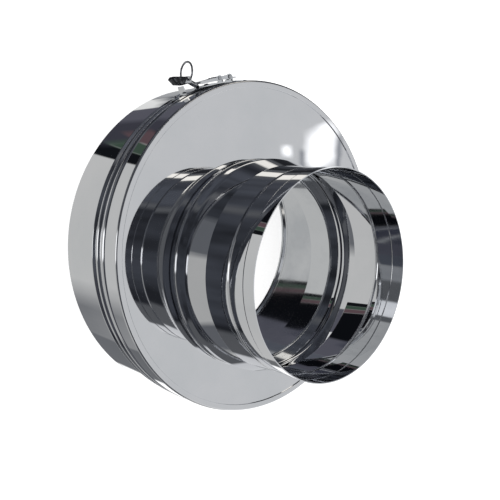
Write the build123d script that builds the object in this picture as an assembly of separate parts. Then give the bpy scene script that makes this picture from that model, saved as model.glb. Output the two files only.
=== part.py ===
from build123d import *
from math import atan2, cos, degrees, radians, sin
import os

# Eccentric reducer for a twin-wall flue: an insulated drum of two casings clamped by a lever band,
# and a single-wall neck that stands off-centre on its closing plate. Millimetres and degrees.
# The origin is on the drum's axis in the plane of its open rear rim, and +Z is the flue's axis
# towards the neck. Angles round the drum count from +Y towards +X.

# Drum
drum_r = 150.0
drum_length = 86.0
casing_wall = 0.8
casing_bend = 1.6
rear_rim_width = 6.0
front_rim_width = 5.75
plate_recess = 2.0
swage_depth = 1.4
swage_run = 2.0
seat_gap = 1.0
casing_gap = 2.0

# Locking band, in the swaged seat of the casings; bead places count from its rear edge
band_setback = 36.0
band_width = 19.0
band_wall = 0.8
band_bend = 0.9
band_gap = 1.8
bead_height = 1.0
bead_slope = 1.3
narrow_bead_at = 5.5
narrow_bead_width = 1.8
broad_bead_at = 14.2
broad_bead_width = 6.0
sheet_fit = 0.05

# Closing plate and its drawn collar
plate_wall = 1.2
plate_flange = 8.0
collar_height = 14.0
collar_fit = 0.2

# Neck; its heights count from the closing plate
neck_offset = 14.1
neck_length = 94.0
neck_wall = 0.8
neck_r = 88.0
neck_bend = 1.5
neck_lift = 9.0
flare_step = 0.4
flare_height = 17.7
cone_r = 89.3
cone_height = 37.0
groove_height = 64.5
groove_depth = 0.9
groove_width = 3.0
mouth_ring = 12.0
mouth_step = 0.3

# Inner flue; the sleeve hangs from its lip and ends in the step plate
sleeve_step = 0.6
sleeve_wall = 0.8
lip_width = 5.55
lip_height = 6.0
liner_clearance = 2.8
liner_wall = 0.8
step_depth = 20.0
liner_bead_at = 5.7
liner_bead_depth = 2.1
liner_bead_width = 2.4
liner_bead_slope = 2.4
step_wall = 0.8
step_flange = 4.0
rear_ring_at = 12.8
rear_ring_flange = 6.0
rear_ring_hem = 2.6
insulation_gap = 0.5

# Latch plates, at angles round the drum
plate_sheet = 1.2
plate_width = 16.0
latch_plate_start = -35.0
latch_plate_end = -12.2
catch_plate_start = -10.4
catch_plate_end = -3.0
rivet_r = 1.5
rivet_head_r = 2.4
rivet_head = 1.0
rivet_spread = 4.5
outer_rivets_at = -33.2
inner_rivet_at = -21.0
catch_rivets_at = -5.6

# Lever, link and tongue; heights count from the latch plate
hinge_at = -12.8
hinge_height = 3.5
hinge_pin_r = 1.0
hinge_head_r = 1.8
hinge_head = 0.8
pin_clearance = 0.05
side_clearance = 0.1
ear_r = 2.0
ear_wall = 1.0
ear_spread = 10.4
ear_foot = 4.5
lever_width = 15.0
lever_wall = 0.8
lever_top = 1.0
lever_end_r = 2.8
lever_nose_at = -25.0
lever_slot_at = -20.5
nose_taper = 13.0
link_at = -17.0
link_height = 3.2
link_eye_r = 1.9
link_width = 9.0
link_sheet = 1.0
link_bar = 1.6
window_width = 5.2
window_slack = 1.4
tongue_width = 4.4
tongue_height = 4.2
tongue_clearance = 0.2

# Linchpin and its ring
linchpin_at = -30.0
hub_across = 5.8
hub_height = 9.3
hub_r = 3.0
head_width = 7.8
head_outline = ((-15.6, 6.3), (-12.8, 7.6), (-0.3, 2.9), (-1.0, -2.8), (-6.5, -2.3), (-12.8, 0.4))
head_edge = 0.8
shaft_r = 2.2
shaft_turn = 46.0
shaft_length = 13.7
tip_r = 1.0
tip_length = 3.0
tip_fit = 0.7
post_at = -2.2
post_height = 6.3
post_width = 8.0
ring_r = 8.6
ring_wire_r = 0.9
ring_rise = 6.6
ring_lean = 28.0
ring_leg = 2.6
ring_seat = 1.4

# Derived places
plate_top = drum_length - plate_recess
band_low = drum_length - band_setback
band_mid = band_low + band_width / 2
seat_r = drum_r - swage_depth
casing_in = drum_r - casing_wall
seat_in = seat_r - casing_wall
band_in = seat_r + sheet_fit
band_out = band_in + band_wall
bead_out = band_out + bead_height
plate_in = bead_out + sheet_fit
plate_out = plate_in + plate_sheet
sleeve_r = neck_r - sleeve_step
lip_r = sleeve_r + lip_width
liner_r = sleeve_r + neck_offset + liner_clearance
liner_length = plate_top - step_depth
collar_in = lip_r + sheet_fit
collar_out = collar_in + plate_wall
foot_r = collar_out + collar_fit + neck_wall
mouth_z = plate_top + neck_length
hinge_r = plate_out + hinge_height
link_r = plate_out + link_height
lever_out = hinge_r + lever_end_r
cheek_low = hinge_r - lever_end_r
neck_axis = Pos(0, -neck_offset, 0)


def bent_sheet(points, wall, bend):
    """Section of a bent sheet: the points follow one face and the sheet lies to their left."""
    path = FilletPolyline(*points, radius=bend)
    outline = Wire(path.edges()).offset_2d(wall, side=Side.LEFT)
    return make_face(outline.edges())


def turned(section, arc=360):
    """A section, drawn as radius and height, turned about the Z axis."""
    return revolve(Plane.XZ * section, Axis.Z, revolution_arc=arc)


def arc_strip(inner, outer, start, end, low, high):
    """A plate bent to the drum's curve between two angles."""
    middle = Pos((inner + outer) / 2, (low + high) / 2)
    section = middle * Rectangle(outer - inner, high - low)
    return Rot(0, 0, 90 - end) * turned(section, end - start)


def tube(outer, inner, low, high):
    """A plain ring or tube about the Z axis."""
    section = Pos((inner + outer) / 2, (low + high) / 2) * Rectangle(outer - inner, high - low)
    return turned(section)


def at_angle(angle):
    """Frame at an angle round the drum: X runs along the rim, Y points outwards."""
    return Rot(0, 0, -angle)


def outwards(angle, height):
    """Frame whose +Z points out of the drum at an angle and a height."""
    return Rot(0, 0, -angle) * Pos(0, 0, height) * Rot(-90, 0, 0)


def slab(outline, low, high):
    """An outline in the XY plane, drawn up between two heights."""
    return Pos(0, 0, low) * extrude(outline, amount=high - low, dir=(0, 0, 1))


def pin(radius, low, high):
    return Pos(0, 0, (low + high) / 2) * Cylinder(radius, high - low)


def rear_shell():
    seat_low = band_low - seat_gap
    points = [(drum_r - rear_rim_width, 0),
              (drum_r, 0),
              (drum_r, seat_low - swage_run),
              (seat_r, seat_low),
              (seat_r, band_mid - casing_gap / 2)]
    return turned(bent_sheet(points, casing_wall, casing_bend))


def front_shell():
    seat_high = band_low + band_width + seat_gap
    points = [(seat_r, band_mid + casing_gap / 2),
              (seat_r, seat_high),
              (drum_r, seat_high + swage_run),
              (drum_r, drum_length),
              (drum_r - front_rim_width, drum_length),
              (drum_r - front_rim_width, plate_top)]
    return turned(bent_sheet(points, casing_wall, casing_bend))


def closing_plate():
    edge = casing_in - sheet_fit
    disc = turned(bent_sheet([(edge, plate_top - plate_flange), (edge, plate_top), (0, plate_top)],
                             plate_wall, casing_bend))
    root = collar_out + 3 * plate_wall
    collar = turned(bent_sheet([(root, plate_top), (collar_out, plate_top),
                                (collar_out, plate_top + collar_height)], plate_wall, casing_bend))
    return disc - neck_axis * pin(root, plate_top - 2 * plate_wall, plate_top + plate_wall) + neck_axis * collar


def neck_pipe():
    groove = plate_top + groove_height
    ring_z = mouth_z - mouth_ring
    points = [(foot_r, plate_top + neck_lift),
              (foot_r + flare_step, plate_top + flare_height),
              (cone_r, plate_top + cone_height),
              (neck_r, groove - groove_width / 2),
              (neck_r - groove_depth, groove),
              (neck_r, groove + groove_width / 2),
              (neck_r, ring_z - mouth_step),
              (neck_r + mouth_step, ring_z + mouth_step),
              (neck_r + mouth_step, mouth_z)]
    return neck_axis * turned(bent_sheet(points, neck_wall, neck_bend))


def inner_sleeve():
    points = [(sleeve_r, liner_length),
              (sleeve_r, plate_top),
              (lip_r, plate_top + lip_height / 2),
              (lip_r, plate_top + lip_height)]
    return neck_axis * turned(bent_sheet(points, sleeve_wall, casing_bend))


def liner():
    half = liner_bead_width / 2
    points = [(liner_r, 0),
              (liner_r, liner_bead_at - half - liner_bead_slope),
              (liner_r + liner_bead_depth, liner_bead_at - half),
              (liner_r + liner_bead_depth, liner_bead_at + half),
              (liner_r, liner_bead_at + half + liner_bead_slope),
              (liner_r, liner_length)]
    return turned(bent_sheet(points, liner_wall, liner_wall + 0.2))


def step_plate():
    flange_in = liner_r + sheet_fit
    cap = tube(flange_in + step_wall, 0, liner_length, liner_length + step_wall)
    flange = tube(flange_in + step_wall, flange_in, liner_length - step_flange, liner_length)
    return cap + flange - neck_axis * pin(sleeve_r + sheet_fit, liner_length - 1, liner_length + 2)


def rear_ring():
    outer = casing_in - sheet_fit
    inner = liner_r + sheet_fit
    points = [(outer, rear_ring_at - rear_ring_flange),
              (outer, rear_ring_at),
              (inner, rear_ring_at),
              (inner, rear_ring_at - rear_ring_hem)]
    return turned(bent_sheet(points, casing_wall, casing_bend))


def insulation():
    outer = seat_in - insulation_gap
    step_top = liner_length + step_wall + insulation_gap
    step_out = liner_r + sheet_fit + step_wall + insulation_gap
    blanket = tube(outer, 0, rear_ring_at + insulation_gap, plate_top - plate_wall - insulation_gap)
    return blanket - pin(step_out, 0, step_top) - neck_axis * pin(sleeve_r + insulation_gap, 0, mouth_z)


def rivet_places():
    """Frames of the five plate rivets, with +Z outwards."""
    pairs = [(angle, band_mid + side * rivet_spread)
             for angle in (outer_rivets_at, catch_rivets_at) for side in (-1, 1)]
    return [outwards(angle, height) for angle, height in pairs + [(inner_rivet_at, band_mid)]]


def rivet_holes():
    holes = [place * pin(rivet_r, band_in - 1, plate_out + 1) for place in rivet_places()]
    return Part() + holes


def plate_rivets():
    rivet = pin(rivet_r, band_in, plate_out) + pin(rivet_head_r, plate_out, plate_out + rivet_head)
    rivet = fillet(rivet.edges().sort_by(Axis.Z)[-1], rivet_head / 2)
    return Part() + [place * rivet for place in rivet_places()]


def band_section():
    points = [(band_out, band_low)]
    for centre, width in ((narrow_bead_at, narrow_bead_width), (broad_bead_at, broad_bead_width)):
        low = band_low + centre - width / 2
        high = band_low + centre + width / 2
        points += [(band_out, low - bead_slope), (bead_out, low), (bead_out, high), (band_out, high + bead_slope)]
    points.append((band_out, band_low + band_width))
    return bent_sheet(points, band_wall, band_bend)


def locking_band():
    open_from = (latch_plate_end + catch_plate_start) / 2 - band_gap / 2
    strip = Rot(0, 0, 90 - open_from) * turned(band_section(), 360 - band_gap)
    return strip - rivet_holes()


def curved_plate(start, end):
    half = plate_width / 2
    return arc_strip(plate_in, plate_out, start, end, band_mid - half, band_mid + half)


def ear(low, high):
    """Hinge ear that stands on the latch plate."""
    foot_right = radians(latch_plate_end - hinge_at) * plate_in
    outline = Polygon((-ear_foot, plate_out - 0.5), (foot_right, plate_out - 0.5), (ear_r, hinge_r),
                      (-ear_r, hinge_r), align=None)
    outline += Pos(0, hinge_r) * Circle(ear_r)
    outline -= Pos(0, hinge_r) * Circle(hinge_pin_r)
    return at_angle(hinge_at) * slab(outline, low, high)


def latch_plate():
    inner = ear_spread / 2
    ears = ear(band_mid + inner, band_mid + inner + ear_wall) + ear(band_mid - inner - ear_wall, band_mid - inner)
    post_middle = (plate_in + plate_out + post_height) / 2
    post = Pos(post_at, post_middle, band_mid) * Box(plate_sheet, plate_sheet + post_height, post_width)
    plate = curved_plate(latch_plate_start, latch_plate_end) + ears + at_angle(linchpin_at) * post
    socket = linchpin_frame() * pin(tip_r + tip_fit, 0, 2 * shaft_length)
    return plate - rivet_holes() - socket


def tongue():
    """Upturned hook on the catch plate's edge, over which the link's window drops."""
    rise = (plate_in + plate_out + tongue_height) / 2
    block = Pos(plate_sheet / 2, rise, band_mid) * Box(plate_sheet, plate_sheet + tongue_height, tongue_width)
    top = block.edges().filter_by(Axis.Z).group_by(Axis.Y)[-1]
    return at_angle(catch_plate_start) * fillet(top, plate_sheet / 3)


def catch_plate():
    return curved_plate(catch_plate_start, catch_plate_end) + tongue() - rivet_holes()


def lever():
    half = lever_width / 2
    top = arc_strip(lever_out - lever_top, lever_out, lever_nose_at, hinge_at, band_mid - half, band_mid + half)
    inside = half - lever_wall
    slot = arc_strip(lever_out - 3, lever_out + 1, lever_slot_at, hinge_at + 1,
                     band_mid - inside, band_mid + inside)
    taper = Polygon((-2, lever_out - lever_top), (0, lever_out - lever_top), (nose_taper, cheek_low - 2),
                    (-2, cheek_low - 4), align=None)
    taper_cut = at_angle(lever_nose_at) * slab(taper, band_mid - half - 1, band_mid + half + 1)
    body = top - slot
    for low in (band_mid - half, band_mid + half - lever_wall):
        cheek = arc_strip(cheek_low, lever_out, lever_nose_at, hinge_at, low, low + lever_wall) - taper_cut
        cheek += at_angle(hinge_at) * Pos(0, hinge_r) * pin(lever_end_r, low, low + lever_wall)
        body += cheek
    reach = (band_mid - half - 1, band_mid + half + 1)
    body -= at_angle(hinge_at) * Pos(0, hinge_r) * pin(hinge_pin_r + pin_clearance, *reach)
    return body - at_angle(link_at) * Pos(0, link_r) * pin(hinge_pin_r, *reach)


def hinge_rivets():
    inner = ear_spread / 2
    head_low = lever_width / 2 + side_clearance
    stub = pin(hinge_pin_r, inner, head_low) + pin(hinge_head_r, head_low, head_low + hinge_head)
    stub = fillet(stub.edges().sort_by(Axis.Z)[-1], hinge_head / 2)
    place = at_angle(hinge_at) * Pos(0, hinge_r, band_mid)
    return Part() + [place * stub, place * (Rot(180, 0, 0) * stub)]


def link_pin():
    half = lever_width / 2
    shank = pin(hinge_pin_r, -half, half)
    heads = pin(hinge_head_r, half, half + hinge_head / 2) + pin(hinge_head_r, -half - hinge_head / 2, -half)
    return at_angle(link_at) * Pos(0, link_r, band_mid) * (shank + heads)


def draw_link():
    """Flat link from the pin to the tongue, worked out in the tongue's frame."""
    swing = radians(link_at - catch_plate_start)
    eye = Vector(link_r * sin(swing), link_r * cos(swing))
    bar_end = Vector(plate_sheet + tongue_clearance + link_bar, link_r)
    length = (bar_end - eye).length
    turn = degrees(atan2(bar_end.Y - eye.Y, bar_end.X - eye.X))
    window = window_slack + plate_sheet + tongue_clearance
    strip = Pos(length / 2, 0) * Box(length, link_sheet, link_width)
    strip += pin(link_eye_r, -link_width / 2, link_width / 2)
    strip -= pin(hinge_pin_r + pin_clearance, -link_width, link_width)
    strip -= Pos(length - link_bar - window / 2, 0) * Box(window, 3 * link_sheet, window_width)
    return at_angle(catch_plate_start) * Pos(eye.X, eye.Y, band_mid) * Rot(0, 0, turn) * strip


def hub_place():
    return at_angle(linchpin_at) * Pos(hub_across, plate_out + hub_height, band_mid)


def linchpin_frame():
    """Frame at the linchpin's hub, with +Z along the shaft to its tip."""
    return hub_place() * Rot(0, 0, -shaft_turn) * Rot(0, 90, 0)


def linchpin():
    half = head_width / 2
    head = slab(Polygon(*head_outline, align=None), -half, half)
    head = chamfer(head.edges().filter_by(Axis.Z, reverse=True), head_edge) + pin(hub_r, -half, half)
    eye_r = ring_wire_r + pin_clearance
    head -= pin(eye_r, half - ring_seat, half + 1) + pin(eye_r, -half - 1, ring_seat - half)
    shank = pin(shaft_r, 0, shaft_length - tip_length)
    tip = Pos(0, 0, shaft_length - tip_length / 2) * Cone(shaft_r, tip_r, tip_length)
    return hub_place() * head + linchpin_frame() * (shank + tip)


def linchpin_ring():
    """Wire ring with both ends turned into the head, drawn in its own plane and then leant over."""
    ring = Pos(0, ring_rise) * Torus(ring_r, ring_wire_r)
    ring -= Pos(0, -ring_r) * Box(4 * ring_r, 2 * ring_r, 4 * ring_r)
    corner = (ring_r ** 2 - ring_rise ** 2) ** 0.5
    for side in (-1, 1):
        leg = Rot(0, 90 * side, 0) * pin(ring_wire_r, corner - ring_leg, corner)
        ring += leg + Pos(side * corner, 0) * Sphere(ring_wire_r)
    lean = radians(ring_lean)
    upright = Plane(origin=(0, 0, 0), x_dir=(0, 0, 1), z_dir=(-cos(lean), sin(lean), 0))
    return hub_place() * (upright * ring)


pieces = {
    "rear_shell": rear_shell,
    "front_shell": front_shell,
    "closing_plate": closing_plate,
    "neck_pipe": neck_pipe,
    "inner_sleeve": inner_sleeve,
    "liner": liner,
    "step_plate": step_plate,
    "rear_ring": rear_ring,
    "insulation": insulation,
    "locking_band": locking_band,
    "latch_plate": latch_plate,
    "catch_plate": catch_plate,
    "plate_rivets": plate_rivets,
    "lever": lever,
    "hinge_rivets": hinge_rivets,
    "link_pin": link_pin,
    "draw_link": draw_link,
    "linchpin": linchpin,
    "linchpin_ring": linchpin_ring,
}

os.makedirs("parts", exist_ok=True)
for name, build in pieces.items():
    export_step(build(), f"parts/{name}.step")
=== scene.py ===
import math
import bmesh
import bpy
from mathutils import Matrix, Vector


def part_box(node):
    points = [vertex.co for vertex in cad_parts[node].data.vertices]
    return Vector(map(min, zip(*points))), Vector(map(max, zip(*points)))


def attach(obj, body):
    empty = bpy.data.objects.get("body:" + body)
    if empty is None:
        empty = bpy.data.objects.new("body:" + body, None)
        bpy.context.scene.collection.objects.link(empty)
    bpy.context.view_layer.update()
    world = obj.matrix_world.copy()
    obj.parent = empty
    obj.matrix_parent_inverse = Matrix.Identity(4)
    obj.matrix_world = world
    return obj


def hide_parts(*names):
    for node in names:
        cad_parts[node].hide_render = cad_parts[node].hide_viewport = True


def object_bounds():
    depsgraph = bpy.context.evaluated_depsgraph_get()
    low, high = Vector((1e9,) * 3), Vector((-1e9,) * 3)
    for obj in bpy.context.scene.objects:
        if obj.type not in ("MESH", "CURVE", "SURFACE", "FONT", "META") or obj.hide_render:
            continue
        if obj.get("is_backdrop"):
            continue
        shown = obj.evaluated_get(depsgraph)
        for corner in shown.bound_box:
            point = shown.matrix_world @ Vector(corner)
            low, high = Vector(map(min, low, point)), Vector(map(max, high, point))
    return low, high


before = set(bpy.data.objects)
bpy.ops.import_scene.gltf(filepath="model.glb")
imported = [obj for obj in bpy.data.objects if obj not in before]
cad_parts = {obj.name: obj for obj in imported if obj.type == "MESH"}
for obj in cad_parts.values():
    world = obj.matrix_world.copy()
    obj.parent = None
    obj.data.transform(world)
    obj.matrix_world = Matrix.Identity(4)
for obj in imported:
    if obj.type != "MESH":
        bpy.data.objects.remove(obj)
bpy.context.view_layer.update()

# The reducer's turned sheet pieces are drawn again here as finely turned shells, because a mirror
# finish shows every facet. Each stands for its solid. The locking band and its seat, the level of the
# closing plate, the neck's flare, the inner sleeve, the lever and the rivets' heads follow the
# photograph more closely than the solids do; the other pieces keep their solids' sections. Lengths
# are in metres, and one written with MM is a real size in millimetres.

MM = 0.001


def turned_r(node):
    """Outer radius of a node turned about the drum's or the neck's axis."""
    low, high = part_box(node)
    return (high[0] - low[0]) / 2


def bottom(node):
    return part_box(node)[0][2]


def top(node):
    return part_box(node)[1][2]


# Sizes read from the frame
drum_r = turned_r("rear_shell")
front_lip = top("front_shell")
band_low = bottom("locking_band")
band_high = top("locking_band")
band_mid = (band_low + band_high) / 2
neck_y = (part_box("neck_pipe")[0][1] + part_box("neck_pipe")[1][1]) / 2
neck_foot = bottom("neck_pipe")
mouth = top("neck_pipe")
flare_r = turned_r("neck_pipe")
collar_top = top("closing_plate")
plate_edge_r = turned_r("closing_plate")
sleeve_low = bottom("inner_sleeve")
sleeve_top = top("inner_sleeve")
sleeve_lip_r = turned_r("inner_sleeve")
liner_top = top("liner")

# Sheet sizes
sheet = 0.8 * MM
plate_sheet = 1.2 * MM
bend = 1.6 * MM
solid_plate = front_lip - 2.0 * MM
seat_r = drum_r - 1.4 * MM
rear_rim = 6.0 * MM
front_rim = 5.75 * MM
neck_r = 88.0 * MM
sleeve_r = 87.4 * MM
liner_r = 104.3 * MM
collar_r = 94.2 * MM
foot_r = 95.2 * MM

# How finely the pieces are turned and bent, and how alike two normals are on one smooth face
turn_steps = 288
arc_steps = 7
smooth_match = 0.5


def arc_path(points, radius):
    """Follow straight runs joined by arcs; gives each step's point and tangent in (r, z).

    radius is one bend for all corners, or a list with one for each corner.
    """
    path = []
    bends = list(radius) if isinstance(radius, (list, tuple)) else [radius] * (len(points) - 2)
    pts = [Vector(p) for p in points]
    path.append((pts[0], (pts[1] - pts[0]).normalized()))
    for before, corner, after, bend_r in zip(pts, pts[1:], pts[2:], bends):
        into = (corner - before).normalized()
        out = (after - corner).normalized()
        turn = into.angle_signed(out)
        back = bend_r * math.tan(abs(turn) / 2)
        start = corner - into * back
        side = -1 if turn > 0 else 1
        centre = start + Vector((-into.y, into.x)) * bend_r * side
        for i in range(arc_steps + 1):
            swing = Matrix.Rotation(-turn * i / arc_steps, 2)
            path.append((centre + swing @ (start - centre), swing @ into))
    path.append((pts[-1], (pts[-1] - pts[-2]).normalized()))
    return path


def sheet_rings(points, wall, radius, centre_y=0.0):
    """Rings of a bent sheet, out along one face and back along the other: (centre y, r, z, normal)."""
    path = arc_path(points, radius)
    outer = [(centre_y, p.x, p.y, (t.y, -t.x)) for p, t in path]
    inner = [(centre_y, p.x - t.y * wall, p.y + t.x * wall, (-t.y, t.x)) for p, t in reversed(path)]
    return outer, inner


def turned_shell(name, rings, arc_from=0.0, arc=360.0):
    """Skin the rings, closed round the section, with each face's exact normals."""
    whole = arc >= 360.0
    count = turn_steps
    steps = count if whole else count - 1
    angles = [math.radians(arc_from + arc * i / steps) for i in range(count)]
    verts = []
    for cy, r, z, _ in rings:
        verts += [(r * math.sin(a), cy + r * math.cos(a), z) for a in angles]
    faces = []
    normals = []
    rows = len(rings)
    for i in range(rows):
        j = (i + 1) % rows
        _, r0, z0, n0 = rings[i]
        _, r1, z1, n1 = rings[j]
        if n0[0] * n1[0] + n0[1] * n1[1] < smooth_match:
            edge = Vector((z1 - z0, r0 - r1)).normalized()
            n0 = n1 = (edge.x, edge.y)
        for k in range(steps):
            m = (k + 1) % count
            faces.append((i * count + k, j * count + k, j * count + m, i * count + m))
            for a, n in ((angles[k], n0), (angles[k], n1), (angles[m], n1), (angles[m], n0)):
                normals.append((n[0] * math.sin(a), n[0] * math.cos(a), n[1]))
    if not whole:
        a = angles[0]
        b = angles[-1]
        faces.append(tuple(i * count for i in reversed(range(rows))))
        normals += [(-math.cos(a), math.sin(a), 0.0)] * rows
        faces.append(tuple(i * count + count - 1 for i in range(rows)))
        normals += [(math.cos(b), -math.sin(b), 0.0)] * rows
    mesh = bpy.data.meshes.new(name)
    mesh.from_pydata(verts, [], faces)
    mesh.update()
    mesh.polygons.foreach_set("use_smooth", [True] * len(mesh.polygons))
    mesh.normals_split_custom_set(normals)
    piece = bpy.data.objects.new(name, mesh)
    bpy.context.collection.objects.link(piece)
    return piece


def stand_for(piece, node, material):
    """Finish a fixed piece and let it stand for its solid."""
    piece.data.materials.append(material)
    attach(piece, "body")
    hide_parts(node)


def rgb(code):
    """A colour written as sRGB hex, in the linear values that Blender wants."""
    values = [int(code[i:i + 2], 16) / 255 for i in (0, 2, 4)]
    return [v / 12.92 if v <= 0.04045 else ((v + 0.055) / 1.055) ** 2.4 for v in values] + [1.0]


def add(tree, kind, inputs=None, **settings):
    """Add one node; an input is given by name or number, as a value or as the socket that feeds it."""
    node = tree.nodes.new(kind)
    for key, value in settings.items():
        setattr(node, key, value)
    for key, value in (inputs or {}).items():
        if isinstance(value, bpy.types.NodeSocket):
            tree.links.new(value, node.inputs[key])
        else:
            node.inputs[key].default_value = value
    return node


def noise(tree, place, scale, detail=3.0, roughness=0.5):
    found = add(tree, "ShaderNodeTexNoise", {"Vector": place, "Scale": scale, "Detail": detail,
                                             "Roughness": roughness})
    return found.outputs["Fac"]


def span(tree, value, low, high, to_low=0.0, to_high=1.0):
    """Bring a value from one range to another, clamped."""
    made = add(tree, "ShaderNodeMapRange", {"Value": value, "From Min": low, "From Max": high,
                                            "To Min": to_low, "To Max": to_high})
    return made.outputs["Result"]


def sums(tree, kind, a, b=0.0, c=0.0):
    return add(tree, "ShaderNodeMath", {0: a, 1: b, 2: c}, operation=kind).outputs[0]


def blend(tree, factor, a, b):
    made = add(tree, "ShaderNodeMix", {0: factor, 6: a, 7: b}, data_type="RGBA")
    return made.outputs[2]


def new_material(name):
    made = bpy.data.materials.new(name)
    made.use_nodes = True
    return made, made.node_tree, made.node_tree.nodes["Principled BSDF"]


# Patterns on stainless sheet, in features for each metre: haze patches about 60 mm across, slow
# waves about 90 mm long, and drawn lines about 0.4 mm apart and 6 mm long
haze_scale = 17.0
wave_scale = 11.0
line_scale = (180.0, 180.0, 2600.0)


def stainless(name, light, dark, smooth, dull, waviness, grain):
    """Stainless sheet: thin haze patches, the slow waves of rolled sheet, and fine drawn lines."""
    made, tree, shader = new_material(name)
    place = add(tree, "ShaderNodeTexCoord").outputs["Object"]
    haze = span(tree, noise(tree, place, haze_scale, 4.0, 0.6), 0.42, 0.68)
    tree.links.new(blend(tree, haze, rgb(light), rgb(dark)), shader.inputs["Base Color"])
    tree.links.new(span(tree, haze, 0.0, 1.0, smooth, dull), shader.inputs["Roughness"])
    waves = add(tree, "ShaderNodeBump", {"Height": noise(tree, place, wave_scale, 1.0), "Strength": 1.0,
                                         "Distance": waviness})
    stretched = add(tree, "ShaderNodeMapping", {"Vector": place, "Scale": line_scale})
    drawn = noise(tree, stretched.outputs[0], 1.0, 2.0)
    lines = add(tree, "ShaderNodeBump", {"Height": drawn, "Strength": 1.0, "Distance": grain,
                                         "Normal": waves.outputs[0]})
    tree.links.new(lines.outputs[0], shader.inputs["Normal"])
    shader.inputs["Metallic"].default_value = 1.0
    return made


# The linchpin's axis, its hub, how far along the axis the hub lies, and where the steel turns bright
pin_line = (0.961262, -0.275637, 0.0)
hub = (-75.48 * MM, 142.33 * MM)
pin_start = hub[0] * pin_line[0] + hub[1] * pin_line[1]
bright_from = pin_start - 2.6 * MM
bright_to = pin_start - 2.0 * MM

# Mirror-polished sheet: the clear, slightly wavy reflections of the casings, plate and neck
polished = stainless("mirror_polished_stainless", "D6D7DA", "D1D3D6", 0.02, 0.035, 0.012 * MM, 0.0)
# Bright rolled sheet of the inner flue: softer reflections with drawn lines round the pipe
rolled = stainless("bright_rolled_stainless", "CFD1D4", "BFC2C6", 0.06, 0.12, 0.03 * MM, 0.001 * MM)
# Pressed latch plates and lever: bright sheet with small dents that break its reflections up
pressed = stainless("bright_pressed_stainless", "D2D4D7", "C4C7CB", 0.05, 0.12, 0.25 * MM, 0.0)
# Rivets and small pins: satin heads with a soft, broad glint
satin = stainless("satin_rivet_stainless", "C9CBCE", "AEB1B6", 0.14, 0.26, 0.02 * MM, 0.004 * MM)
# Bent wire: a bright drawn finish
wire = stainless("bright_spring_wire", "B4B6BA", "8E9095", 0.10, 0.22, 0.0, 0.003 * MM)


def blackened_steel():
    """Linchpin: a blackened head worn in patches, and bright steel from its knuckle to the pin's tip."""
    made, tree, shader = new_material("blackened_linchpin_steel")
    place = add(tree, "ShaderNodeTexCoord").outputs["Object"]
    worn = span(tree, noise(tree, place, 420.0, 4.0, 0.65), 0.50, 0.66)
    along = add(tree, "ShaderNodeVectorMath", {0: place, 1: pin_line}, operation="DOT_PRODUCT")
    bare = span(tree, along.outputs["Value"], bright_from, bright_to)
    shade = blend(tree, worn, rgb("3A3B3F"), rgb("7A7C80"))
    tree.links.new(blend(tree, bare, shade, rgb("CDCFD2")), shader.inputs["Base Color"])
    dull = span(tree, worn, 0.0, 1.0, 0.36, 0.26)
    tree.links.new(sums(tree, "MULTIPLY_ADD", bare, -0.18, dull), shader.inputs["Roughness"])
    pits = add(tree, "ShaderNodeBump", {"Height": noise(tree, place, 1500.0, 2.0), "Strength": 0.6,
                                        "Distance": 0.02 * MM})
    tree.links.new(pits.outputs[0], shader.inputs["Normal"])
    shader.inputs["Metallic"].default_value = 1.0
    return made


def mineral_wool():
    """Insulation: matted yellow-brown fibres, seen only through the open end's gap."""
    made, tree, shader = new_material("mineral_wool")
    place = add(tree, "ShaderNodeTexCoord").outputs["Object"]
    fibre = add(tree, "ShaderNodeMapping", {"Vector": place, "Scale": (900.0, 150.0, 900.0)})
    mat = noise(tree, fibre.outputs[0], 1.0, 6.0, 0.7)
    tree.links.new(blend(tree, mat, rgb("A08D58"), rgb("D2C48F")), shader.inputs["Base Color"])
    bump = add(tree, "ShaderNodeBump", {"Height": mat, "Strength": 0.8, "Distance": 0.8 * MM})
    tree.links.new(bump.outputs[0], shader.inputs["Normal"])
    shader.inputs["Roughness"].default_value = 0.95
    return made


black = blackened_steel()
wool = mineral_wool()

# Where the band lies on the casings, and how its two round beads are rolled. Each bead has a centre,
# the width of its crown, the run of each side and the bend of the crown
band_top = band_low + 16.4 * MM
band_seat_r = seat_r - 1.4 * MM
bead_height = 2.4 * MM
valley_bend = 0.6 * MM
narrow_bead = (band_low + 4.4 * MM, 2.4 * MM, 1.2 * MM, 1.9 * MM)
broad_bead = (band_low + 12.8 * MM, 3.6 * MM, 1.4 * MM, 3.1 * MM)

# Rear casing: turned-in rim, straight wall and the swaged seat under the band
seat_low = band_low - 2.0 * MM
seat_run = 1.3 * MM
joint_half = 1.0 * MM
wall_bend = 0.8 * MM
seat_bend = 0.6 * MM
rear_points = [(drum_r - rear_rim, 0), (drum_r, 0), (drum_r, seat_low - seat_run), (band_seat_r, seat_low),
               (band_seat_r, band_mid - joint_half)]
outer, inner = sheet_rings(rear_points, sheet, [bend, wall_bend, seat_bend])
stand_for(turned_shell("rear_casing", outer + inner), "rear_shell", polished)

# Front casing: the other half of the seat, and the rim folded down on the closing plate
seat_high = band_top + 0.3 * MM
plate_face = front_lip - 1.0 * MM
rim_edge_bend = 0.3 * MM
front_points = [(band_seat_r, band_mid + joint_half), (band_seat_r, seat_high),
                (drum_r, seat_high + seat_run), (drum_r, front_lip), (drum_r - front_rim, front_lip),
                (drum_r - front_rim, plate_face)]
outer, inner = sheet_rings(front_points, sheet, [seat_bend, wall_bend, bend, rim_edge_bend])
stand_for(turned_shell("front_casing", outer + inner), "front_shell", polished)

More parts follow.
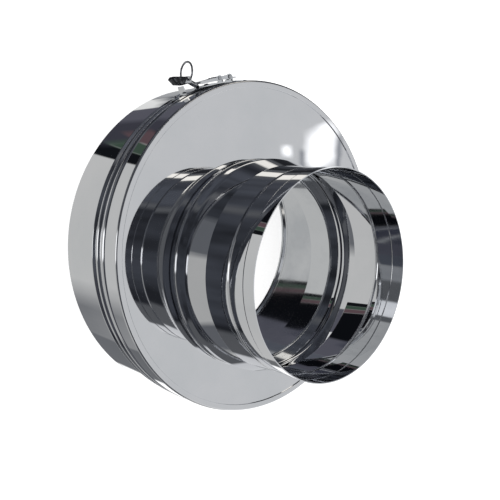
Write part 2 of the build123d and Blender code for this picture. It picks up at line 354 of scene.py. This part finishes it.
# Closing plate: a flat mirror between its flange, on the drum's axis, and its collar, on the neck's
flange_low = solid_plate - 8.0 * MM
plate_points = [(plate_edge_r, flange_low), (plate_edge_r, plate_face), (collar_r, plate_face),
                (collar_r, collar_top)]
outer, inner = sheet_rings(plate_points, plate_sheet, bend)
split_r = (plate_edge_r + collar_r) / 2
outer = [(0.0 if r > split_r else neck_y, r, z, n) for _, r, z, n in outer]
inner = [(0.0 if r > split_r else neck_y, r, z, n) for _, r, z, n in inner]
stand_for(turned_shell("closing_mirror_plate", outer + inner), "closing_plate",
          polished)

# Neck: flared foot, short cone, swaged groove and the ring at its mouth
flare_z = solid_plate + 17.7 * MM
cone_z = solid_plate + 37.0 * MM
cone_r = 89.3 * MM
groove_z = solid_plate + 64.5 * MM
groove_half = 1.5 * MM
groove_deep = 0.9 * MM
ring_z = mouth - 12.0 * MM
ring_step = 0.3 * MM
neck_points = [(foot_r, neck_foot), (flare_r, flare_z), (cone_r, cone_z), (neck_r, groove_z - groove_half),
               (neck_r - groove_deep, groove_z), (neck_r, groove_z + groove_half),
               (neck_r, ring_z - ring_step), (neck_r + ring_step, ring_z + ring_step),
               (neck_r + ring_step, mouth)]
flare_bend = 14.0 * MM
neck_bend = 1.5 * MM
neck_bends = [flare_bend] + [neck_bend] * 6
outer, inner = sheet_rings(neck_points, sheet, neck_bends, neck_y)
stand_for(turned_shell("neck", outer + inner), "neck_pipe", polished)

# Inner sleeve under the neck: a straight pipe, hung from the narrow lip at its top
pipe_bend = 1.0 * MM
sleeve_points = [(sleeve_r, sleeve_low), (sleeve_r, sleeve_top), (sleeve_lip_r, sleeve_top)]
outer, inner = sheet_rings(sleeve_points, sheet, pipe_bend, neck_y)
stand_for(turned_shell("flue_sleeve", outer + inner), "inner_sleeve", rolled)

# Liner, with its swaged bead
bead_z = 5.7 * MM
bead_half = 1.2 * MM
bead_run = 2.4 * MM
bead_low = bead_z - bead_half
bead_high = bead_z + bead_half
bead_r = liner_r + 2.1 * MM
liner_points = [(liner_r, 0), (liner_r, bead_low - bead_run), (bead_r, bead_low), (bead_r, bead_high),
                (liner_r, bead_high + bead_run), (liner_r, liner_top)]
outer, inner = sheet_rings(liner_points, sheet, pipe_bend)
stand_for(turned_shell("flue_liner", outer + inner), "liner", rolled)

# Locking band: a narrow and a broad rolled bead, open between the latch plates. It starts at an
# angle from the top of the drum, in degrees, and runs nearly the whole way round
band_start = -10.4
band_arc = 358.2
band_out = band_seat_r + 0.85 * MM
bead_out = band_out + bead_height
band_points = [(band_out, band_low)]
band_bends = []
for centre, width, run, crown in (narrow_bead, broad_bead):
    low = centre - width / 2
    high = centre + width / 2
    band_points += [(band_out, low - run), (bead_out, low), (bead_out, high), (band_out, high + run)]
    band_bends += [valley_bend, crown, crown, valley_bend]
band_points.append((band_out, band_top))
outer, inner = sheet_rings(band_points, sheet, band_bends)
stand_for(turned_shell("band", outer + inner, band_start, band_arc), "locking_band",
          polished)

# Over-centre lever: a straight channel with shallow cheeks, forked from the link's slot to its hinge
lever_turn = math.radians(-21.0)
lever_face = 155.8 * MM
lever_half = 7.5 * MM
cheek = 0.8 * MM
fork_start = 1.4 * MM
nose = -10.8 * MM
hinge_along = 22.1 * MM
hinge_r = 153.6 * MM
eye_r = 2.8 * MM
eye_from = -150
eye_swing = 240
eye_steps = 18
lever_crease = math.radians(28)


def lever_point(along, r, z):
    """A place on the lever: along its length, out from the drum's axis, and along the flue."""
    c = math.cos(lever_turn)
    n = math.sin(lever_turn)
    return (along * c + r * n, r * c - along * n, z)


def prism(built, outline, low, high):
    """Add a straight-sided block over an outline of (along, r), between two places along the flue."""
    bases = [built.verts.new(lever_point(x, r, low)) for x, r in outline]
    caps = [built.verts.new(lever_point(x, r, high)) for x, r in outline]
    count = len(outline)
    faces = [built.faces.new(list(reversed(bases))), built.faces.new(caps)]
    for i in range(count):
        j = (i + 1) % count
        faces.append(built.faces.new((bases[i], bases[j], caps[j], caps[i])))
    bmesh.ops.recalc_face_normals(built, faces=faces)


def over_centre_lever():
    """Two cheeks, each ending in the round eye of the hinge, and the blade between them at the nose."""
    built = bmesh.new()
    cheek_line = [(nose, lever_face), (nose, lever_face - 0.9 * MM), (nose + 2.4 * MM, lever_face - 2.2 * MM),
                  (13.0 * MM, lever_face - 2.9 * MM), (hinge_along - 3.6 * MM, hinge_r - 1.6 * MM)]
    for i in range(eye_steps + 1):
        a = math.radians(eye_from + eye_swing * i / eye_steps)
        cheek_line.append((hinge_along + eye_r * math.cos(a), hinge_r + eye_r * math.sin(a)))
    cheek_line.append((hinge_along - 3.0 * MM, lever_face))
    prism(built, cheek_line, band_mid - lever_half, band_mid - lever_half + cheek)
    prism(built, cheek_line, band_mid + lever_half - cheek, band_mid + lever_half)
    blade = [(nose, lever_face - 1.0 * MM), (fork_start, lever_face - 1.0 * MM), (fork_start, lever_face),
             (nose, lever_face)]
    prism(built, blade, band_mid - lever_half + cheek, band_mid + lever_half - cheek)
    mesh = bpy.data.meshes.new("over_centre_lever")
    built.to_mesh(mesh)
    built.free()
    mesh.polygons.foreach_set("use_smooth", [True] * len(mesh.polygons))
    mesh.set_sharp_from_angle(angle=lever_crease)
    piece = bpy.data.objects.new("over_centre_lever", mesh)
    bpy.context.collection.objects.link(piece)
    mesh.materials.append(pressed)
    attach(piece, "lever_body")
    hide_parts("lever")


over_centre_lever()

# Domed rivets of the latch and catch plates: (angle round the drum, place along the flue)
rivet_crease = math.radians(35)
plate_out = 151.7 * MM
rivet_places = [(-33.2, 4.5 * MM), (-33.2, -4.5 * MM), (-21.0, 0.0), (-5.6, 4.5 * MM), (-5.6, -4.5 * MM)]


def rivet_tree(material):
    """Geometry Nodes: a flat dome on a shank at each point, turned to that point's outward direction."""
    tree = bpy.data.node_groups.new("domed_rivets", "GeometryNodeTree")
    face = tree.interface
    face.new_socket("Geometry", in_out="INPUT", socket_type="NodeSocketGeometry")
    sizes = {}
    for label, value in (("Head Radius", 2.4 * MM), ("Head Height", 1.0 * MM), ("Shank Radius", 1.5 * MM),
                         ("Shank Length", 2.2 * MM)):
        sizes[label] = face.new_socket(label, in_out="INPUT", socket_type="NodeSocketFloat")
        sizes[label].default_value = value
    face.new_socket("Geometry", in_out="OUTPUT", socket_type="NodeSocketGeometry")
    given = add(tree, "NodeGroupInput").outputs
    ball = add(tree, "GeometryNodeMeshUVSphere", {"Segments": 40, "Rings": 20, "Radius": 1.0}).outputs["Mesh"]
    squash = add(tree, "ShaderNodeCombineXYZ", {"X": given["Head Radius"], "Y": given["Head Radius"],
                                                "Z": given["Head Height"]}).outputs[0]
    dome = add(tree, "GeometryNodeTransform", {"Geometry": ball, "Scale": squash}).outputs[0]
    rod = add(tree, "GeometryNodeMeshCylinder", {"Vertices": 32, "Radius": given["Shank Radius"],
                                                 "Depth": given["Shank Length"]}).outputs["Mesh"]
    drop = add(tree, "ShaderNodeMath", {0: given["Shank Length"], 1: -0.5}, operation="MULTIPLY").outputs[0]
    lower = add(tree, "ShaderNodeCombineXYZ", {"Z": drop}).outputs[0]
    shank = add(tree, "GeometryNodeTransform", {"Geometry": rod, "Translation": lower}).outputs[0]
    rivet = add(tree, "GeometryNodeJoinGeometry")
    tree.links.new(dome, rivet.inputs[0])
    tree.links.new(shank, rivet.inputs[0])
    outward = add(tree, "GeometryNodeInputNamedAttribute", {"Name": "outward"}, data_type="FLOAT_VECTOR")
    turn = add(tree, "FunctionNodeAlignRotationToVector", {"Vector": outward.outputs["Attribute"]}, axis="Z")
    put = add(tree, "GeometryNodeInstanceOnPoints", {"Points": given["Geometry"],
                                                     "Instance": rivet.outputs[0],
                                                     "Rotation": turn.outputs[0]}).outputs[0]
    real = add(tree, "GeometryNodeRealizeInstances", {"Geometry": put}).outputs[0]
    done = add(tree, "GeometryNodeSetMaterial", {"Geometry": real, "Material": material}).outputs[0]
    add(tree, "NodeGroupOutput", {"Geometry": done})
    return tree


def plate_rivets():
    """One point for each rivet, with its outward direction; the tree puts a rivet on each."""
    points = bpy.data.meshes.new("rivet_points")
    spots = []
    for degrees, along in rivet_places:
        a = math.radians(degrees)
        spots.append(((math.sin(a), math.cos(a), 0.0), band_mid + along))
    points.from_pydata([(d[0] * plate_out, d[1] * plate_out, z) for d, z in spots], [], [])
    outward = points.attributes.new("outward", "FLOAT_VECTOR", "POINT")
    outward.data.foreach_set("vector", [v for d, z in spots for v in d])
    seed = bpy.data.objects.new("rivet_points", points)
    bpy.context.collection.objects.link(seed)
    seed.modifiers.new("rivets", "NODES").node_group = rivet_tree(satin)
    ready = seed.evaluated_get(bpy.context.evaluated_depsgraph_get())
    mesh = bpy.data.meshes.new_from_object(ready)
    bpy.data.objects.remove(seed)
    mesh.polygons.foreach_set("use_smooth", [True] * len(mesh.polygons))
    mesh.set_sharp_from_angle(angle=rivet_crease)
    piece = bpy.data.objects.new("domed_plate_rivets", mesh)
    bpy.context.collection.objects.link(piece)
    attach(piece, "body")
    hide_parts("plate_rivets")


plate_rivets()

# The other solids keep their shapes and get their finishes
finishes = {
    "step_plate": rolled,
    "rear_ring": rolled,
    "insulation": wool,
    "latch_plate": pressed,
    "catch_plate": pressed,
    "hinge_rivets": satin,
    "link_pin": satin,
    "draw_link": pressed,
    "linchpin": black,
    "linchpin_ring": wire,
}
for node, finish in finishes.items():
    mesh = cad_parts[node].data
    mesh.materials.clear()
    mesh.materials.append(finish)

# Floor: pale, with only a weak shadow. Metal doesn't mirror it, as it mirrors the studio round it
floor_mesh = bpy.data.meshes.new("floor")
reach = 30.0
floor_z = -0.2 * MM
corners = [(-reach, -reach, floor_z), (reach, -reach, floor_z), (reach, reach, floor_z),
           (-reach, reach, floor_z)]
floor_mesh.from_pydata(corners, [], [(0, 1, 2, 3)])
floor = bpy.data.objects.new("floor", floor_mesh)
bpy.context.collection.objects.link(floor)
floor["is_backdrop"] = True
floor.visible_glossy = False
paper, tree, shader = new_material("white_floor")
shader.inputs["Base Color"].default_value = rgb("D9D9D9")
shader.inputs["Roughness"].default_value = 0.9
glow = add(tree, "ShaderNodeEmission", {"Color": rgb("FFFFFF"), "Strength": 0.82})
both = add(tree, "ShaderNodeAddShader", {0: shader.outputs[0], 1: glow.outputs[0]})
to_camera = add(tree, "ShaderNodeLightPath").outputs["Is Camera Ray"]
whitened = add(tree, "ShaderNodeMixShader", {0: to_camera, 1: shader.outputs[0], 2: both.outputs[0]})
tree.links.new(whitened.outputs[0], tree.nodes["Material Output"].inputs["Surface"])
floor_mesh.materials.append(paper)

# World: white behind everything, soft fill for the rest
fill = 0.35
world = bpy.data.worlds.new("white_world")
bpy.context.scene.world = world
world.use_nodes = True
tree = world.node_tree
path = add(tree, "ShaderNodeLightPath")
seen = sums(tree, "MAXIMUM", path.outputs["Is Camera Ray"],
            sums(tree, "MAXIMUM", path.outputs["Is Glossy Ray"], path.outputs["Is Transmission Ray"]))
tree.links.new(span(tree, seen, 0.0, 1.0, fill, 1.0), tree.nodes["Background"].inputs["Strength"])
tree.nodes["Background"].inputs["Color"].default_value = rgb("FFFFFF")

# Studio round the object, as its mirror faces show it: pale walls, dark flags and soft white boxes.
# Azimuth counts from +Y towards +X and elevation from the horizon, in degrees. Each patch is painted
# over those before it: name, azimuth, half width, elevation, half height, soft edge, tone, strength
lower_studio = [
    ("lower_room", 0, 180, -60, 32, 8, "C8CACD", 0.32),
    ("paper_on_camera_side", -97, 83, -58, 30, 2, "F4F4F2", 0.74),
    ("paper_shade_low", -180, 38, -72, 20, 24, "A9ACB2", 0.44),
    ("flag_bluish", 6.5, 20.0, -55, 32, 3.0, "8D8D9B", 0.42),
    ("shelf_low", 35, 9, -42, 14.5, 1.5, "8E93A0", 0.42),
    ("paper_edge_low", 35, 9, -68, 11.5, 1.5, "F4F4F2", 0.98),
    ("grey_wall_low", 59, 14, -55, 30, 5, "D8DADD", 0.58),
    ("dark_floor_far", 134, 18, -72, 14, 3, "A0A4AE", 0.34),
    ("window_low", 131, 16, -42, 15.5, 3, "FFFFFF", 1.35),
    ("room_level", 0, 180, -5, 25, 6, "B8BCC4", 0.30),
    ("paper_upright_far", -168, 33, -40, 12, 3, "F4F4F2", 0.72),
    ("pale_wall_camera_side", -116, 32, -6, 24, 6, "F0F0EE", 0.60),
    ("dark_gap_level", -30, 20, -6, 24, 6, "8F95A3", 0.13),
    ("dark_shelf_level", 22, 28, -6, 24, 6, "A0A4AE", 0.15),
    ("pale_wall_level", 68, 13, -6, 24, 5, "EFEFEC", 0.46),
    ("window_level", 132, 22, -6, 24, 6, "FFFFFF", 1.30),
    ("pale_wall_far", 163, 10, -6, 24, 5, "F4F4F2", 0.75),
]
upper_studio = [
    ("ceiling", 0, 180, 56, 36, 6, "C4C6CA", 0.30),
    ("dark_behind_camera", -100, 68, 47, 27, 6, "A0A5B2", 0.19),
    ("dark_left_high", 0, 24, 47, 27, 6, "A6ABB8", 0.24),
    ("cream_strip_high", 34, 5.5, 47, 20, 2, "FFF9EE", 1.75),
    ("dark_strip_high", 57, 10, 47, 27, 4, "A6AAB4", 0.17),
    ("pale_ceiling_far", 96, 28, 47, 27, 3, "F2F3F4", 0.83),
    ("window_high", 140, 14, 47, 25, 5, "FFFFFF", 1.00),
    ("lamp_by_camera", -94, 8, 13, 20, 3, "FFFFFF", 1.70),
    ("lamp_one_high", 82.4, 2.0, 44.0, 0.8, 1.5, "FFFFFF", 2.6),
    ("lamp_two_high", 82.6, 0.7, 47.1, 0.3, 0.8, "FFFFFF", 2.4),
    ("bar_one_high", 83.9, 1.7, 45.6, 0.10, 0.7, "7C8496", 0.62),
    ("bar_two_high", 83.3, 1.7, 42.5, 0.10, 0.7, "7C8496", 0.66),
]

# Strips beyond the white table's far edge, as lines on a level table one unit below the object:
# name, near edge, far edge, left limit, right limit, soft edge, tone, strength
table_strips = [
    ("table_edge_black", 0.447, 0.515, -9.0, 0.02, 0.004, "50555F", 0.10),
    ("dusk", 0.500, 0.700, -0.15, 0.10, 0.030, "777786", 0.30),
    ("green_strip", 0.513, 0.575, -9.0, -0.12, 0.006, "6F8A78", 0.36),
    ("pink_strip", 0.575, 0.640, -9.0, -0.03, 0.006, "9C7F86", 0.38),
    ("black_cloth", 0.640, 1.030, -9.0, -0.06, 0.010, "40444E", 0.10),
    ("bluish_beyond", 1.030, 3.000, -9.0, 0.10, 0.020, "7C7F92", 0.30),
    ("thin_line_one", 1.080, 1.095, -9.0, 0.10, 0.006, "FFFFFF", 0.55),
    ("thin_line_two", 1.240, 1.270, -9.0, 0.10, 0.008, "FFFFFF", 0.45),
]

# How far the strips slant, how softly they end, the least downward part that a direction is given,
# and between which downward parts the strips fade in
table_slant = 0.16
strip_end_soft = 0.03
least_down = 0.2
fade_from = -0.45
fade_to = -0.50


def lit(tone, strength):
    """A tone of the studio at its strength of light."""
    return [v * strength for v in rgb(tone)[:3]] + [1.0]


def table_edges(tree, colour, unit_parts):
    """Paint the strips that lie on the table, for directions that look down on it."""
    down = sums(tree, "MAXIMUM", sums(tree, "MULTIPLY", unit_parts["Z"], -1.0), least_down)
    across = sums(tree, "DIVIDE", unit_parts["X"], down)
    line = sums(tree, "MULTIPLY_ADD", across, table_slant, sums(tree, "DIVIDE", unit_parts["Y"], down))
    below = span(tree, unit_parts["Z"], fade_from, fade_to)
    for _, near, far, left, right, soft, tone, strength in table_strips:
        mask = sums(tree, "MULTIPLY", span(tree, line, near - soft, near + soft),
                    span(tree, line, far + soft, far - soft))
        sides = sums(tree, "MULTIPLY", span(tree, across, right + strip_end_soft, right - strip_end_soft),
                     span(tree, across, left - strip_end_soft, left + strip_end_soft))
        mask = sums(tree, "MULTIPLY", sums(tree, "MULTIPLY", mask, sides), below)
        colour = blend(tree, mask, colour, lit(tone, strength))
    return colour


# How far the patches' edges waver, in degrees, so that they read as cloth and board and not as drawn,
# and how much darker and brighter than its tone a dark patch gets in places
edge_waver = 1.1
mottle_deep = 0.45
mottle_bright = 1.35


def paint_patch(tree, colour, patch, unit, rise, wobble):
    """Paint one patch of the studio; a dark one is mottled, as loose cloth is."""
    name, azimuth, half_width, elevation, half_height, soft, tone, strength = patch
    mask = span(tree, sums(tree, "ABSOLUTE", sums(tree, "SUBTRACT", rise, elevation)),
                half_height + soft / 2, half_height - soft / 2)
    if half_width < 180:
        turned = add(tree, "ShaderNodeVectorRotate", {"Vector": unit, "Angle": math.radians(azimuth)},
                     rotation_type="Z_AXIS")
        parts = add(tree, "ShaderNodeSeparateXYZ", {0: turned.outputs[0]})
        swing = sums(tree, "ARCTAN2", parts.outputs["X"], parts.outputs["Y"])
        swing = sums(tree, "MULTIPLY_ADD", swing, 180 / math.pi, wobble)
        swing = sums(tree, "ABSOLUTE", swing)
        mask = sums(tree, "MULTIPLY", mask, span(tree, swing, half_width + soft / 2, half_width - soft / 2))
    level = lit(tone, strength)
    if name.startswith("dark"):
        mottle = span(tree, noise(tree, unit, 3.2, 2.0), 0.38, 0.62)
        deep = [v * mottle_deep for v in level[:3]] + [1.0]
        bright = [v * mottle_bright for v in level[:3]] + [1.0]
        level = blend(tree, mottle, deep, bright)
    return blend(tree, mask, colour, level)


def studio_shell():
    """A large ball round the object that only its mirror faces see, glowing with the studio's tones."""
    made = bpy.data.materials.new("studio_walls")
    made.use_nodes = True
    tree = made.node_tree
    tree.nodes.clear()
    place = add(tree, "ShaderNodeTexCoord").outputs["Object"]
    unit = add(tree, "ShaderNodeVectorMath", {0: place}, operation="NORMALIZE").outputs[0]
    unit_parts = add(tree, "ShaderNodeSeparateXYZ", {0: unit}).outputs
    rise = sums(tree, "MULTIPLY", sums(tree, "ARCSINE", unit_parts["Z"]), 180 / math.pi)
    wobble = span(tree, noise(tree, unit, 9.0, 3.0), 0.3, 0.7, -edge_waver, edge_waver)
    rise = sums(tree, "ADD", rise, sums(tree, "MULTIPLY", wobble, 0.5))
    colour = [0.3, 0.3, 0.3, 1.0]
    for patch in lower_studio:
        colour = paint_patch(tree, colour, patch, unit, rise, wobble)
    colour = table_edges(tree, colour, unit_parts)
    for patch in upper_studio:
        colour = paint_patch(tree, colour, patch, unit, rise, wobble)
    glow = add(tree, "ShaderNodeEmission", {"Color": colour, "Strength": 1.0})
    out = add(tree, "ShaderNodeOutputMaterial", {"Surface": glow.outputs[0]})
    shell_mesh = bpy.data.meshes.new("studio_shell")
    built = bmesh.new()
    bmesh.ops.create_icosphere(built, subdivisions=5, radius=8.0)
    built.to_mesh(shell_mesh)
    built.free()
    shell = bpy.data.objects.new("studio_shell", shell_mesh)
    bpy.context.collection.objects.link(shell)
    shell_mesh.materials.append(made)
    shell.visible_camera = False
    shell.visible_diffuse = False
    shell.visible_shadow = False
    shell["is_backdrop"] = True


studio_shell()


def soft_lamp(name, azimuth, elevation, distance, size, power):
    """Large soft lamp that lights the floor and the wool; mirrors see the studio instead."""
    data = bpy.data.lights.new(name, "AREA")
    data.shape = "DISK"
    data.size = size
    data.energy = power
    lamp = bpy.data.objects.new(name, data)
    a = math.radians(azimuth)
    e = math.radians(elevation)
    away = Vector((math.sin(a) * math.cos(e), math.cos(a) * math.cos(e), math.sin(e)))
    lamp.location = away * distance
    lamp.rotation_mode = "QUATERNION"
    lamp.rotation_quaternion = (-away).to_track_quat("-Z", "Y")
    lamp.visible_glossy = False
    bpy.context.collection.objects.link(lamp)


# Name, azimuth, elevation, distance and size in metres, power in watts
soft_lamp("overhead", 20, 75, 2.2, 2.4, 26)
soft_lamp("side", 140, 40, 2.6, 1.6, 12)

# Camera, as fitted to the photograph's circles
right = Vector((0.762998, 0.0599447, 0.6436154))
up = Vector((0.0, 0.9956907, -0.0927361))
forward = Vector((0.646401, -0.0707575, -0.759710))
place = Vector((-398.705 * MM, 40.668 * MM, 536.949 * MM))
lens = bpy.data.cameras.new("camera")
lens.lens = 47.475
lens.sensor_width = 36.0
lens.clip_start = 0.01
camera = bpy.data.objects.new("camera", lens)
bpy.context.collection.objects.link(camera)
camera.matrix_world = Matrix(((right.x, up.x, -forward.x, place.x),
                              (right.y, up.y, -forward.y, place.y),
                              (right.z, up.z, -forward.z, place.z),
                              (0, 0, 0, 1)))
bpy.context.scene.camera = camera
bpy.context.scene.view_settings.view_transform = "Standard"

low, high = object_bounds()
